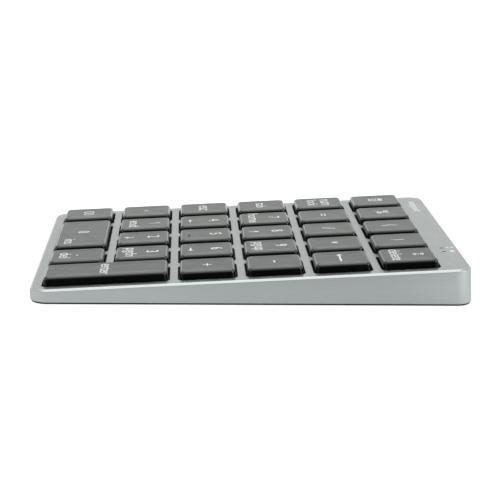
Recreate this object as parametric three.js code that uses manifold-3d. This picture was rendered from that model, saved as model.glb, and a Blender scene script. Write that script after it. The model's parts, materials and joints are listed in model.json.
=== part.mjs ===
// A wireless numeric keypad: an aluminium wedge case, 28 low keys on a sloping plate, and the
// electronics under them. Millimetres, +Z up, +X to the user's right, +Y to the rear.
// The origin is on the surface that the keypad stands on, under the middle of the case.
import * as THREE from "three";
import { mergeVertices } from "three/addons/utils/BufferGeometryUtils.js";
import Module from "manifold-3d";

const wasm = await Module();
wasm.setup();

// ---------------------------------------------------------------- driving dimensions

// case
const CASE_WIDTH = 99.5;
const CASE_DEPTH = 123.3; // along the table, at the plate
const FOOT_HEIGHT = 1.0;
const FRONT_HEIGHT = 3.76; // case height at its front edge, without the feet
const REAR_HEIGHT = 10.62; // case height at its rear edge, without the feet
const CORNER_RADIUS = 5.0;
const EDGE_CHAMFER = 0.6;
const WALL = 1.8;
const PLATE_THICKNESS = 1.0;
const WALL_LIFT = 0.4; // the side walls stop this far above the underside of the bottom cover

// bottom cover
const COVER_INSET = 0.3; // behind the outer face of the walls
const COVER_GAP = 0.3; // between the tray and the inner face of the walls
const COVER_FLANGE = 0.3;
const COVER_THICKNESS = 0.6;

// keys
const PITCH = 19.0;
const COLUMNS = 5;
const ROWS = 6;
const GRID_Y = -2.59; // the middle of the key grid lies a little towards the front
const RIB = 2.25; // metal left between two openings
const OPENING_RADIUS = 1.7;
const KEY_SIZE = 15.9; // across the skirt of a single key
const KEY_DRAFT = 0.35; // each side leans in by this much over the key's height
const KEY_RADIUS = 1.5;
const KEY_EDGE = 0.25;
const KEY_TOP = 2.0; // above the plate, at rest
const SKIRT_BOTTOM = -0.5;
const KEY_WALL = 0.9;
const KEY_CEILING = 0.9; // underside of the keycap's top, above the plate
const BOSS_RADIUS = 1.9;
const BOSS_DEPTH = 0.5;
const CLIP = new THREE.Vector3(1.2, 0.9, 0.9); // the lugs that the lift arms snap into
const HOMING_BAR = new THREE.Vector3(2.8, 0.5, 0.5);
const HOMING_BAR_Y = -5.0;
const HOMING_BAR_HEIGHT = 0.15; // above the keycap
const CLIP_X = 4.6;
const CLIP_Y = 3.4;

// layers under the plate: top and bottom of each, measured from the plate's upper surface
const STACK_WIDTH = 94.6;
const STACK_FRONT = -56.8;
const STACK_REAR = 57.0;
const DOME_LAYER = [-2.3, -2.45];
const MEMBRANE_LAYER = [-2.5, -2.65];
const BACKPLATE_LAYER = [-2.7, -2.95];
const RIBBON_LEFT = 1.0;
const RIBBON_WIDTH = 12;
const RIBBON_END = 51.5; // where it meets the board
const DOME_TOP = 0.34;
const DOME_SKIN = 0.3;
const DOME_BASE_RADIUS = 2.9;
const DOME_TOP_RADIUS = 1.5;
const DOME_SIDES = 6;

// stabiliser bars
const WIRE_RADIUS = 0.4;
const BAR_REACH = 5.0; // from the pivot to the clipped span, level with the plate
const BAR_PIVOT_OFFSET = 0.6;
const BAR_PIVOT_DEPTH = -1.8;
const BAR_SPAN_HEIGHT = 0.2;
const BAR_HALF_LENGTH = 13.6;
const BAR_TIP = 1.4;

// screws and feet
const SCREW_RADIUS = 0.6;
const SCREW_HEAD_RADIUS = 1.6;
const SCREW_HEAD = 0.45;
const FOOT_RADIUS = 4.5;
const FOOT_GAP = 0.05; // glue line
const FOOT_X = 37.0;
const FOOT_Y = 49.0;

// circuit board and what is on it, heights above the underside of the bottom cover
const BOARD_BOTTOM = 2.4;
const BOARD_THICKNESS = 0.8;
const BOARD = { left: -20, right: 40, front: 36, rear: 59.3 };
const ON_BOARD = BOARD_BOTTOM + BOARD_THICKNESS + 0.1; // 0.1 of solder under each part
const CHIP = { size: new THREE.Vector3(7, 7, 0.9), x: 6, y: 44 };
const RADIO = { size: new THREE.Vector3(13, 9, 1.6), x: 30, y: 43.5 };

const SOCKET_X = -6.0;
const SOCKET = new THREE.Vector3(8.94, 7.6, 3.16);
const SOCKET_SKIN = 0.32;
const SOCKET_RECESS = 0.6; // mouth behind the outer face of the rear wall
const SOCKET_TONGUE = new THREE.Vector3(6.7, 5.0, 0.7);
const SOCKET_CLEARANCE = 0.3;

const SWITCH_X = 12.0;
const SWITCH_BODY = new THREE.Vector3(8.2, 3.0, 2.4);
const SWITCH_THROW = 2.5;
const SWITCH_KNOB = new THREE.Vector3(2.6, 1.5, 1.4);
const SWITCH_STEM = new THREE.Vector3(1.4, 1.6, 0.6);
const SWITCH_CLEARANCE = 0.35;
const SWITCH_GAP = 0.2; // between its body and the rear wall
const KNOB_GAP = 0.15; // between its body and its knob

const LIGHT_X = [23.6, 28.1];
const LIGHT_Y = 56.75;
const LIGHT_RADIUS = 0.4;
const LIGHT_HOLE_RADIUS = 0.5;
const LIGHT_BODY_RADIUS = 1.0;
const LED = new THREE.Vector3(1.6, 0.8, 0.6);

const BATTERY = new THREE.Vector3(50, 32, 3.0);
const BATTERY_Y = 14.5;
const BATTERY_BOTTOM = COVER_THICKNESS + 0.15;
const CONNECTOR = new THREE.Vector3(5.5, 4, 1.8);
const CONNECTOR_X = -14;
const CONNECTOR_FRONT = 43;
const LEAD_RADIUS = 0.5;

// ---------------------------------------------------------------- derived places

const BASE_Z = FOOT_HEIGHT;
const SLOPE = (REAR_HEIGHT - FRONT_HEIGHT) / CASE_DEPTH;
const TILT = Math.atan(SLOPE);
const CASE_REAR = CASE_DEPTH / 2;
const OPENING = PITCH - RIB;

// Height of the plate's upper surface over a point that lies y to the rear of the middle.
function plateHeight(y) {
  return BASE_Z + FRONT_HEIGHT + (y + CASE_DEPTH / 2) * SLOPE;
}

// The walls are square to the plate, so they lean back on their way down. This is how far the
// outer face under the plate's edge at y has moved to the rear at height z.
function wallShift(y, z) {
  return (plateHeight(y) - z) * SLOPE;
}

// Keys by row from the front. A key is [name, column, columns wide, rows deep].
const KEY_ROWS = [
  [["00", 0, 1, 1], ["0", 1, 2, 1], ["point", 3, 1, 1], ["enter", 4, 1, 2]],
  [["caret", 0, 1, 1], ["1", 1, 1, 1], ["2", 2, 1, 1], ["3", 3, 1, 1]],
  [["escape", 0, 1, 1], ["4", 1, 1, 1], ["5", 2, 1, 1], ["6", 3, 1, 1], ["plus", 4, 1, 1]],
  [["tab", 0, 1, 1], ["7", 1, 1, 1], ["8", 2, 1, 1], ["9", 3, 1, 1], ["minus", 4, 1, 1]],
  [["num_lock", 0, 1, 1], ["equals", 1, 1, 1], ["slash", 2, 1, 1], ["star", 3, 1, 1],
    ["backspace", 4, 1, 1]],
  [["calculator", 0, 1, 1], ["percent", 1, 1, 1], ["bracket_left", 2, 1, 1],
    ["bracket_right", 3, 1, 1], ["delete", 4, 1, 1]],
];

// Each key's name, its centre on the plate, and how far it is longer than a single key.
const KEYS = KEY_ROWS.flatMap((keys, row) => keys.map(([name, column, wide, deep]) => ({
  name,
  x: (column + (wide - 1) / 2 - (COLUMNS - 1) / 2) * PITCH,
  y: (row + (deep - 1) / 2 - (ROWS - 1) / 2) * PITCH,
  extraX: (wide - 1) * PITCH,
  extraY: (deep - 1) * PITCH,
})));

// Screws stand where ribs cross, and in the two rear corners: [x, y].
const SCREWS = {
  front_left: [-1.5 * PITCH, GRID_Y - 2 * PITCH],
  front_right: [1.5 * PITCH, GRID_Y - 2 * PITCH],
  middle_left: [-1.5 * PITCH, GRID_Y],
  middle_right: [1.5 * PITCH, GRID_Y],
  rear_left: [-44.2, 56.2],
  rear_right: [44.2, 56.2],
};
const BOSS = { radius: 1.15, pilot: 0.72, roof: 0.4 };
const STACK_HOLE_RADIUS = 1.5;
const COVER_HOLE_RADIUS = 0.95;
const BOARD_POSTS = [[-16, 40], [36, 40], [-16, 55], [36, 55]];
const BOARD_POST_RADIUS = 1.5;

// ---------------------------------------------------------------- materials

function material(color, roughness, metalness) {
  return new THREE.MeshStandardMaterial({ color, roughness, metalness });
}

const aluminium = material(0xb4b8b8, 0.45, 1.0);
const steel = material(0x9a9a98, 0.35, 1.0);
const blackKey = material(0x1b1c1c, 0.4, 0.0);
const darkCover = material(0x2a2b2c, 0.6, 0.0);
const rubber = material(0x18181a, 0.85, 0.0);
const silicone = material(0x3a3a3c, 0.7, 0.0);
const film = material(0x34363a, 0.35, 0.0);
const boardGreen = material(0x14502f, 0.5, 0.0);
const blackChip = material(0x111111, 0.45, 0.0);
const pouch = material(0xa8abad, 0.3, 0.6);
const wireRed = material(0x9c1f1b, 0.5, 0.0);
const clear = material(0xf0f4f4, 0.15, 0.0);
const ledWhite = material(0xe8e4c8, 0.4, 0.0);

// ---------------------------------------------------------------- solids

function solid(geometry) {
  const bare = geometry.index ? geometry.toNonIndexed() : geometry.clone();
  bare.deleteAttribute("normal");
  bare.deleteAttribute("uv");
  const merged = mergeVertices(bare, 1e-4);
  return new wasm.Manifold(new wasm.Mesh({
    numProp: 3,
    vertProperties: merged.attributes.position.array,
    triVerts: new Uint32Array(merged.index.array),
  }));
}

function geometryOf(body) {
  const mesh = body.getMesh();
  const geometry = new THREE.BufferGeometry();
  const positions = new Float32Array(mesh.numVert * 3);
  for (let i = 0; i < mesh.numVert; i += 1) {
    for (let k = 0; k < 3; k += 1) {
      positions[3 * i + k] = mesh.vertProperties[mesh.numProp * i + k];
    }
  }
  geometry.setAttribute("position", new THREE.BufferAttribute(positions, 3));
  geometry.setIndex(new THREE.BufferAttribute(new Uint32Array(mesh.triVerts), 1));
  geometry.computeVertexNormals();
  return geometry;
}

function union(bodies) {
  return bodies.reduce((whole, body) => whole.add(body));
}

function cut(body, tools) {
  return tools.length ? body.subtract(union(tools)) : body;
}

// Outline of a rectangle with round corners, each corner an arc of the given number of steps.
function roundedRectangle(width, depth, radius, steps = 2) {
  const corners = [[1, -1, -90], [1, 1, 0], [-1, 1, 90], [-1, -1, 180]];
  const points = [];
  for (const [sideX, sideY, start] of corners) {
    for (let i = 0; i <= steps; i += 1) {
      const angle = THREE.MathUtils.degToRad(start + (90 * i) / steps);
      points.push(new THREE.Vector2(
        sideX * (width / 2 - radius) + radius * Math.cos(angle),
        sideY * (depth / 2 - radius) + radius * Math.sin(angle),
      ));
    }
  }
  return new THREE.Shape(points);
}

// A plain prism over an outline, from bottom to top.
function prism(shape, bottom, top) {
  const geometry = new THREE.ExtrudeGeometry(shape, { depth: top - bottom, bevelEnabled: false });
  return geometry.translate(0, 0, bottom);
}

// The same with a chamfer round both ends, inside the outline.
function chamferedPrism(shape, bottom, top, chamfer) {
  const geometry = new THREE.ExtrudeGeometry(shape, {
    depth: top - bottom - 2 * chamfer,
    bevelThickness: chamfer,
    bevelSize: chamfer,
    bevelOffset: -chamfer,
    bevelSegments: 1,
  });
  return geometry.translate(0, 0, bottom + chamfer);
}

function box(size, x, y, bottom) {
  return new THREE.BoxGeometry(size.x, size.y, size.z).translate(x, y, bottom + size.z / 2);
}

// An upright cylinder.
function post(radius, x, y, bottom, top, sides = 12) {
  const geometry = new THREE.CylinderGeometry(radius, radius, top - bottom, sides);
  return geometry.rotateX(Math.PI / 2).translate(x, y, (top + bottom) / 2);
}

// A turned piece that stands at x, y: the profile is a closed list of [radius, height].
function turned(profile, x, y, sides = 16) {
  const points = profile.map(([radius, height]) => new THREE.Vector2(radius, height));
  return new THREE.LatheGeometry(points, sides).rotateX(Math.PI / 2).translate(x, y, 0);
}

// ---------------------------------------------------------------- the scene graph

const keypad = new THREE.Group();

// The sloping frame of the keys: its origin is the middle of the key grid on the plate.
const plateFrame = new THREE.Group();
plateFrame.position.set(0, GRID_Y, plateHeight(GRID_Y));
plateFrame.rotation.x = TILT;
plateFrame.updateMatrix();
keypad.add(plateFrame);

function addPiece(name, geometry, look, parent = keypad) {
  const mesh = new THREE.Mesh(geometry, look);
  mesh.name = name;
  parent.add(mesh);
  return mesh;
}

// ---------------------------------------------------------------- case

// A block that reaches down from the plate, square to it, inset from the case's outline.
function wedge(inset, drop, chamfer) {
  const outline = roundedRectangle(
    CASE_WIDTH - 2 * inset,
    CASE_DEPTH / Math.cos(TILT) - 2 * inset,
    CORNER_RADIUS - inset,
    5,
  );
  const block = chamfer
    ? chamferedPrism(outline, -CASE_DEPTH, -drop, chamfer)
    : prism(outline, -CASE_DEPTH, -drop);
  return block.rotateX(TILT).translate(0, 0, plateHeight(0));
}

// The rear wall's outer face at the height of the socket and the switch.
const REAR_FACE = CASE_REAR + wallShift(CASE_REAR, BASE_Z + ON_BOARD + SOCKET.z / 2);

// Round-ended slot through the rear wall, for the charging socket and the switch.
function rearSlot(x, width, height, bottom) {
  const outline = roundedRectangle(width, height, height / 2 - 0.01, 4);
  const slot = prism(outline, -WALL - 1, WALL + 1).rotateX(Math.PI / 2);
  return solid(slot.translate(x, REAR_FACE, bottom + height / 2));
}

function keyOpening(key) {
  const outline = roundedRectangle(OPENING + key.extraX, OPENING + key.extraY, OPENING_RADIUS);
  const tool = prism(outline, -2 * PLATE_THICKNESS, PLATE_THICKNESS).translate(key.x, key.y, 0);
  return solid(tool.applyMatrix4(plateFrame.matrix));
}

function topCase() {
  const wallBottom = BASE_Z + WALL_LIFT;
  const above = box(new THREE.Vector3(200, 200, 100), 0, 0, wallBottom);
  const shell = solid(wedge(0, 0, EDGE_CHAMFER)).intersect(solid(above));
  const hollow = solid(wedge(WALL, PLATE_THICKNESS, 0));
  const bosses = Object.values(SCREWS).map(([x, y]) => {
    const top = plateHeight(y) - PLATE_THICKNESS / 2;
    return solid(post(BOSS.radius, x, y, BASE_Z + COVER_THICKNESS + 0.1, top));
  });
  const pilots = Object.values(SCREWS).map(([x, y]) => {
    const top = plateHeight(y) - PLATE_THICKNESS - BOSS.roof;
    return solid(post(BOSS.pilot, x, y, 0, top));
  });
  const lightHoles = LIGHT_X.map((x) => solid(post(LIGHT_HOLE_RADIUS, x, LIGHT_Y, 5, 20)));
  const socketSlot = rearSlot(
    SOCKET_X,
    SOCKET.x + 2 * SOCKET_CLEARANCE,
    SOCKET.z + 2 * SOCKET_CLEARANCE,
    BASE_Z + ON_BOARD - SOCKET_CLEARANCE,
  );
  const switchSlot = rearSlot(
    SWITCH_X,
    SWITCH_KNOB.x + SWITCH_THROW + 2 * SWITCH_CLEARANCE,
    SWITCH_KNOB.z + 2 * SWITCH_CLEARANCE,
    BASE_Z + ON_BOARD + (SWITCH_BODY.z - SWITCH_KNOB.z) / 2 - SWITCH_CLEARANCE,
  );
  const body = cut(shell, [hollow]).add(union(bosses));
  return cut(body, [...KEYS.map(keyOpening), ...pilots, ...lightHoles, socketSlot, switchSlot]);
}

// A flat layer of the bottom cover, inset from the outline of the walls at their foot.
function coverLayer(inset, radius, bottom, top) {
  const footHeight = BASE_Z + WALL_LIFT;
  const front = -CASE_REAR + wallShift(-CASE_REAR, footHeight) + inset;
  const rear = CASE_REAR + wallShift(CASE_REAR, footHeight) - inset;
  const outline = roundedRectangle(CASE_WIDTH - 2 * inset, rear - front, radius, 5);
  return solid(prism(outline, bottom, top).translate(0, (front + rear) / 2, 0));
}

// The bottom cover: a thin tray whose flange shows as a line under the walls.
function bottomCover() {
  const trayInset = WALL + COVER_GAP;
  const flangeTop = BASE_Z + COVER_FLANGE;
  const boardPosts = BOARD_POSTS.map(([x, y]) => {
    const top = BASE_Z + BOARD_BOTTOM - 0.1;
    return solid(post(BOARD_POST_RADIUS, x, y, flangeTop, top, 8));
  });
  const holes = Object.values(SCREWS).map(([x, y]) => solid(post(COVER_HOLE_RADIUS, x, y, 0, 3)));
  const plate = union([
    coverLayer(COVER_INSET, CORNER_RADIUS - COVER_INSET, BASE_Z, flangeTop),
    coverLayer(trayInset, CORNER_RADIUS - WALL, flangeTop - 0.15, BASE_Z + COVER_THICKNESS),
    ...boardPosts,
  ]);
  return cut(plate, holes);
}

addPiece("top_case", geometryOf(topCase()), aluminium);
addPiece("bottom_cover", geometryOf(bottomCover()), darkCover);

// ---------------------------------------------------------------- keycaps

// Leans the four sides of a shape in towards its top.
function draft(geometry, bottom, top, amount) {
  const position = geometry.attributes.position;
  for (let i = 0; i < position.count; i += 1) {
    const share = (position.getZ(i) - bottom) / (top - bottom);
    position.setX(i, position.getX(i) - Math.sign(position.getX(i)) * amount * share);
    position.setY(i, position.getY(i) - Math.sign(position.getY(i)) * amount * share);
  }
  return geometry;
}

// One keycap, centred on its own place: a hollow cap with a boss for the dome and four clips.
function keycap(key) {
  const width = KEY_SIZE + key.extraX;
  const depth = KEY_SIZE + key.extraY;
  const outside = chamferedPrism(
    roundedRectangle(width, depth, KEY_RADIUS),
    SKIRT_BOTTOM,
    KEY_TOP,
    KEY_EDGE,
  );
  const inside = prism(
    roundedRectangle(width - 2 * KEY_WALL, depth - 2 * KEY_WALL, KEY_RADIUS / 2, 1),
    SKIRT_BOTTOM - 1,
    KEY_CEILING,
  );
  const ceiling = KEY_CEILING + 0.1;
  const boss = post(BOSS_RADIUS, 0, 0, KEY_CEILING - BOSS_DEPTH, ceiling, 10);
  const clips = [[1, 1], [1, -1], [-1, 1], [-1, -1]].map(([sideX, sideY]) => {
    const clip = box(CLIP, sideX * CLIP_X, sideY * CLIP_Y, ceiling - CLIP.z);
    return solid(clip);
  });
  const cap = cut(solid(draft(outside, SKIRT_BOTTOM, KEY_TOP, KEY_DRAFT)), [solid(inside)]);
  return union([cap, solid(boss), ...clips]);
}

// The raised bar that a finger finds on the middle key.
function homingBar() {
  return solid(box(HOMING_BAR, 0, HOMING_BAR_Y, KEY_TOP + HOMING_BAR_HEIGHT - HOMING_BAR.z));
}

for (const key of KEYS) {
  const body = key.name === "5" ? keycap(key).add(homingBar()) : keycap(key);
  const mesh = addPiece(`key_${key.name}`, geometryOf(body), blackKey, plateFrame);
  mesh.position.set(key.x, key.y, 0);
}

// ---------------------------------------------------------------- layers under the keys

// A sheet that covers the whole key field, with holes where the screw bosses pass.
function sheet([top, bottom]) {
  const length = STACK_REAR - STACK_FRONT;
  const middle = (STACK_REAR + STACK_FRONT) / 2;
  const plate = prism(roundedRectangle(STACK_WIDTH, length, 1.0, 1), bottom, top);
  const body = solid(plate.translate(0, middle, 0));
  const through = Object.values(SCREWS).filter(([, y]) => y < 50);
  return cut(body, through.map(([x, y]) => {
    const tilted = (y - GRID_Y) / Math.cos(TILT) - 2.6 * Math.sin(TILT);
    return solid(post(STACK_HOLE_RADIUS, x, tilted, -5, 1, 8));
  }));
}

// Silicone sheet with a hollow dome, open below, under each key.
function domeSheet() {
  const web = sheet(DOME_LAYER);
  const [top, bottom] = DOME_LAYER;
  const domes = KEYS.map((key) => solid(turned(
    [[0, bottom], [DOME_BASE_RADIUS, bottom], [DOME_BASE_RADIUS, top],
      [DOME_TOP_RADIUS, DOME_TOP], [0, DOME_TOP]],
    key.x,
    key.y,
    DOME_SIDES,
  )));
  const hollows = KEYS.map((key) => solid(turned(
    [[0, bottom - 0.5], [DOME_BASE_RADIUS - DOME_SKIN, bottom - 0.5],
      [DOME_BASE_RADIUS - DOME_SKIN, top], [DOME_TOP_RADIUS - DOME_SKIN, DOME_TOP - 2 * DOME_SKIN],
      [0, DOME_TOP - 2 * DOME_SKIN]],
    key.x,
    key.y,
    DOME_SIDES,
  )));
  return cut(web.add(union(domes)), hollows);
}

addPiece("dome_sheet", geometryOf(domeSheet()), silicone, plateFrame);
addPiece("contact_membrane", geometryOf(sheet(MEMBRANE_LAYER)), film, plateFrame);
addPiece("key_backplate", geometryOf(sheet(BACKPLATE_LAYER)), steel, plateFrame);

// ---------------------------------------------------------------- stabiliser bars

// A round rod between two points, with a ball at its far end to round the bend.
function rod(from, to) {
  const along = to.clone().sub(from);
  const geometry = new THREE.CylinderGeometry(WIRE_RADIUS, WIRE_RADIUS, along.length(), 6);
  const turn = new THREE.Quaternion().setFromUnitVectors(
    new THREE.Vector3(0, 1, 0),
    along.clone().normalize(),
  );
  const middle = from.clone().add(to).multiplyScalar(0.5);
  const bend = new THREE.SphereGeometry(WIRE_RADIUS, 6, 3).translate(to.x, to.y, to.z);
  geometry.applyQuaternion(turn).translate(middle.x, middle.y, middle.z);
  return solid(geometry).add(solid(bend));
}

// The bar lies along y: two tips on the pivot line, two arms, and the span clipped to the key.
function stabiliser() {
  const span = BAR_PIVOT_OFFSET + BAR_REACH;
  const route = [
    [BAR_PIVOT_OFFSET, -BAR_HALF_LENGTH - BAR_TIP, BAR_PIVOT_DEPTH],
    [BAR_PIVOT_OFFSET, -BAR_HALF_LENGTH, BAR_PIVOT_DEPTH],
    [span, -BAR_HALF_LENGTH, BAR_SPAN_HEIGHT],
    [span, BAR_HALF_LENGTH, BAR_SPAN_HEIGHT],
    [BAR_PIVOT_OFFSET, BAR_HALF_LENGTH, BAR_PIVOT_DEPTH],
    [BAR_PIVOT_OFFSET, BAR_HALF_LENGTH + BAR_TIP, BAR_PIVOT_DEPTH],
  ].map((point) => new THREE.Vector3(...point));
  return union(route.slice(1).map((point, i) => rod(route[i], point)));
}

const enterKey = KEYS.find((key) => key.name === "enter");
const zeroKey = KEYS.find((key) => key.name === "0");

const enterBar = addPiece("enter_stabiliser", geometryOf(stabiliser()), steel, plateFrame);
enterBar.position.set(enterKey.x, enterKey.y, 0);

const zeroBar = addPiece("zero_stabiliser", geometryOf(stabiliser()), steel, plateFrame);
zeroBar.position.set(zeroKey.x, zeroKey.y, 0);
zeroBar.rotation.z = Math.PI / 2;

// ---------------------------------------------------------------- circuit board

function circuitBoard() {
  const { left, right, front, rear } = BOARD;
  const outline = roundedRectangle(right - left, rear - front, 1.0, 2);
  const bottom = BASE_Z + BOARD_BOTTOM;
  const plate = prism(outline, bottom, bottom + BOARD_THICKNESS);
  return plate.translate((left + right) / 2, (front + rear) / 2, 0);
}

function onBoard(name, size, x, y, look) {
  addPiece(name, box(size, x, y, BASE_Z + ON_BOARD), look);
}

addPiece("circuit_board", circuitBoard(), boardGreen);
onBoard("controller_chip", CHIP.size, CHIP.x, CHIP.y, blackChip);
onBoard("radio_module", RADIO.size, RADIO.x, RADIO.y, steel);
onBoard("battery_connector", CONNECTOR, CONNECTOR_X, CONNECTOR_FRONT + CONNECTOR.y / 2, film);

// The charging socket: a flat round-ended steel shell, closed behind, with a tongue inside.
function chargingSocket() {
  const bottom = BASE_Z + ON_BOARD;
  const mouth = REAR_FACE - SOCKET_RECESS;
  const upright = (shape, front, rear) => prism(shape, -rear, -front).rotateX(Math.PI / 2)
    .translate(SOCKET_X, 0, bottom + SOCKET.z / 2);
  const outer = roundedRectangle(SOCKET.x, SOCKET.z, SOCKET.z / 2 - 0.01, 4);
  const inner = roundedRectangle(
    SOCKET.x - 2 * SOCKET_SKIN,
    SOCKET.z - 2 * SOCKET_SKIN,
    SOCKET.z / 2 - SOCKET_SKIN - 0.01,
    4,
  );
  const shell = solid(upright(outer, mouth - SOCKET.y, mouth));
  const hollow = solid(upright(inner, mouth - SOCKET.y + 1.0, mouth + 1));
  const tongueY = mouth - SOCKET.y + 0.9 + SOCKET_TONGUE.y / 2;
  const tongue = box(
    SOCKET_TONGUE,
    SOCKET_X,
    tongueY,
    bottom + (SOCKET.z - SOCKET_TONGUE.z) / 2,
  );
  return shell.subtract(hollow).add(solid(tongue));
}

addPiece("charging_socket", geometryOf(chargingSocket()), steel);

// The power switch: a body on the board, and a slider whose stem runs in the body's slot.
const switchRear = REAR_FACE - WALL - SWITCH_GAP;

function powerSwitchBody() {
  const bottom = BASE_Z + ON_BOARD;
  const body = box(SWITCH_BODY, SWITCH_X, switchRear - SWITCH_BODY.y / 2, bottom);
  const slot = new THREE.Vector3(
    SWITCH_STEM.x + SWITCH_THROW + 2 * SWITCH_CLEARANCE,
    2 * SWITCH_STEM.y,
    SWITCH_STEM.z + SWITCH_CLEARANCE,
  );
  const tool = box(slot, SWITCH_X, switchRear, bottom + (SWITCH_BODY.z - slot.z) / 2);
  return solid(body).subtract(solid(tool));
}

function powerSwitchSlider() {
  const middle = BASE_Z + ON_BOARD + SWITCH_BODY.z / 2;
  const x = SWITCH_X - SWITCH_THROW / 2;
  const knobFront = switchRear + KNOB_GAP;
  const knob = box(SWITCH_KNOB, x, knobFront + SWITCH_KNOB.y / 2, middle - SWITCH_KNOB.z / 2);
  const stem = box(SWITCH_STEM, x, switchRear - 0.3, middle - SWITCH_STEM.z / 2);
  return solid(knob).add(solid(stem));
}

addPiece("power_switch_body", geometryOf(powerSwitchBody()), steel);
addPiece("power_switch_slider", geometryOf(powerSwitchSlider()), blackChip);

// Two indicator lamps, each with a clear pipe that carries its light up to the plate.
["left", "right"].forEach((side, i) => {
  onBoard(`indicator_lamp_${side}`, LED, LIGHT_X[i], LIGHT_Y, ledWhite);
  const foot = BASE_Z + ON_BOARD + LED.z + 0.2;
  const shoulder = plateHeight(LIGHT_Y) - PLATE_THICKNESS - 0.4;
  const tip = plateHeight(LIGHT_Y - LIGHT_RADIUS) - 0.1;
  const profile = [
    [0, foot],
    [LIGHT_BODY_RADIUS, foot],
    [LIGHT_BODY_RADIUS, shoulder],
    [LIGHT_RADIUS, shoulder],
    [LIGHT_RADIUS, tip],
    [0, tip],
  ];
  addPiece(`light_pipe_${side}`, turned(profile, LIGHT_X[i], LIGHT_Y, 12), clear);
});

// The membrane's tail: a thin ribbon that drops from the key layers to the board.
function membraneRibbon() {
  const start = new THREE.Vector2(STACK_REAR, MEMBRANE_LAYER[0])
    .rotateAround(new THREE.Vector2(0, 0), TILT)
    .add(new THREE.Vector2(GRID_Y + 0.15, plateHeight(GRID_Y)));
  const end = new THREE.Vector2(RIBBON_END, BASE_Z + ON_BOARD + 0.4);
  const bend = new THREE.CubicBezierCurve(
    start,
    new THREE.Vector2(start.x + 3.2, start.y),
    new THREE.Vector2(end.x + 5.5, end.y),
    end,
  );
  const thickness = MEMBRANE_LAYER[0] - MEMBRANE_LAYER[1];
  const upper = bend.getPoints(8);
  const lower = upper.map((point, i) => {
    const tangent = bend.getTangent(i / 8);
    return new THREE.Vector2(point.x - tangent.y * thickness, point.y + tangent.x * thickness);
  });
  const shape = new THREE.Shape([...upper, ...lower.reverse()]);
  const strip = new THREE.ExtrudeGeometry(shape, { depth: RIBBON_WIDTH, bevelEnabled: false });
  // the outline is drawn in y and z, and extruded along x
  const toYZ = new THREE.Matrix4().set(0, 0, 1, 0, 1, 0, 0, 0, 0, 1, 0, 0, 0, 0, 0, 1);
  return strip.applyMatrix4(toYZ).translate(RIBBON_LEFT, 0, 0);
}

addPiece("membrane_ribbon", membraneRibbon(), film);

// ---------------------------------------------------------------- battery

function batteryPouch() {
  const outline = roundedRectangle(BATTERY.x, BATTERY.y, 1.5, 2);
  const bottom = BASE_Z + BATTERY_BOTTOM;
  return chamferedPrism(outline, bottom, bottom + BATTERY.z, 0.5).translate(0, BATTERY_Y, 0);
}

// The lead from the pouch's rear edge, up over the board's front edge, to its connector.
function batteryLead() {
  const pouchMiddle = BATTERY_BOTTOM + BATTERY.z / 2;
  const start = BATTERY_Y + BATTERY.y / 2 + 0.1;
  const route = [
    [start, pouchMiddle],
    [start + 1.5, pouchMiddle + 0.4],
    [BOARD.front - 1.2, ON_BOARD + 0.8],
    [BOARD.front + 1.5, ON_BOARD + 1.3],
    [CONNECTOR_FRONT - 0.1, ON_BOARD + 0.9],
  ].map(([y, height]) => new THREE.Vector3(CONNECTOR_X, y, BASE_Z + height));
  const section = new THREE.Shape(
    new THREE.EllipseCurve(0, 0, LEAD_RADIUS, LEAD_RADIUS).getPoints(8).slice(0, 8),
  );
  const extrudePath = new THREE.CatmullRomCurve3(route);
  return new THREE.ExtrudeGeometry(section, { steps: 10, bevelEnabled: false, extrudePath });
}

addPiece("battery", batteryPouch(), pouch);
addPiece("battery_lead", batteryLead(), wireRed);

// ---------------------------------------------------------------- screws and feet

// A low wafer-head screw, driven up from below, with a cross recess.
function screw(x, y) {
  const headTop = BASE_Z - 0.05;
  const headBottom = headTop - SCREW_HEAD;
  const tip = Math.min(plateHeight(y) - PLATE_THICKNESS - BOSS.roof - 0.3, BASE_Z + 5);
  const body = solid(turned([
    [0, headBottom],
    [SCREW_HEAD_RADIUS - 0.15, headBottom],
    [SCREW_HEAD_RADIUS, headBottom + 0.15],
    [SCREW_HEAD_RADIUS, headTop],
    [SCREW_RADIUS, headTop],
    [SCREW_RADIUS, tip],
    [0, tip],
  ], x, y, 12));
  const recess = [[1.6, 0.35], [0.35, 1.6]].map(([width, depth]) => {
    return solid(box(new THREE.Vector3(width, depth, 0.5), x, y, headBottom - 0.25));
  });
  return cut(body, recess);
}

for (const [place, [x, y]] of Object.entries(SCREWS)) {
  addPiece(`screw_${place}`, geometryOf(screw(x, y)), steel);
}

// A round rubber pad with a softened lower edge.
function foot(x, y) {
  const top = FOOT_HEIGHT - FOOT_GAP;
  return turned([
    [0, 0],
    [FOOT_RADIUS - 0.3, 0],
    [FOOT_RADIUS, 0.3],
    [FOOT_RADIUS, top],
    [0, top],
  ], x, y, 20);
}

for (const [end, y] of [["front", -FOOT_Y], ["rear", FOOT_Y]]) {
  for (const [side, x] of [["left", -FOOT_X], ["right", FOOT_X]]) {
    addPiece(`foot_${end}_${side}`, foot(x, y), rubber);
  }
}

export default keypad;
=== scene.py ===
"""A low wireless numeric keypad on a plain white table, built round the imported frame."""

import json
import math

import bmesh
import bpy
from mathutils import Matrix, Vector
from mathutils.geometry import tessellate_polygon


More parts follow.
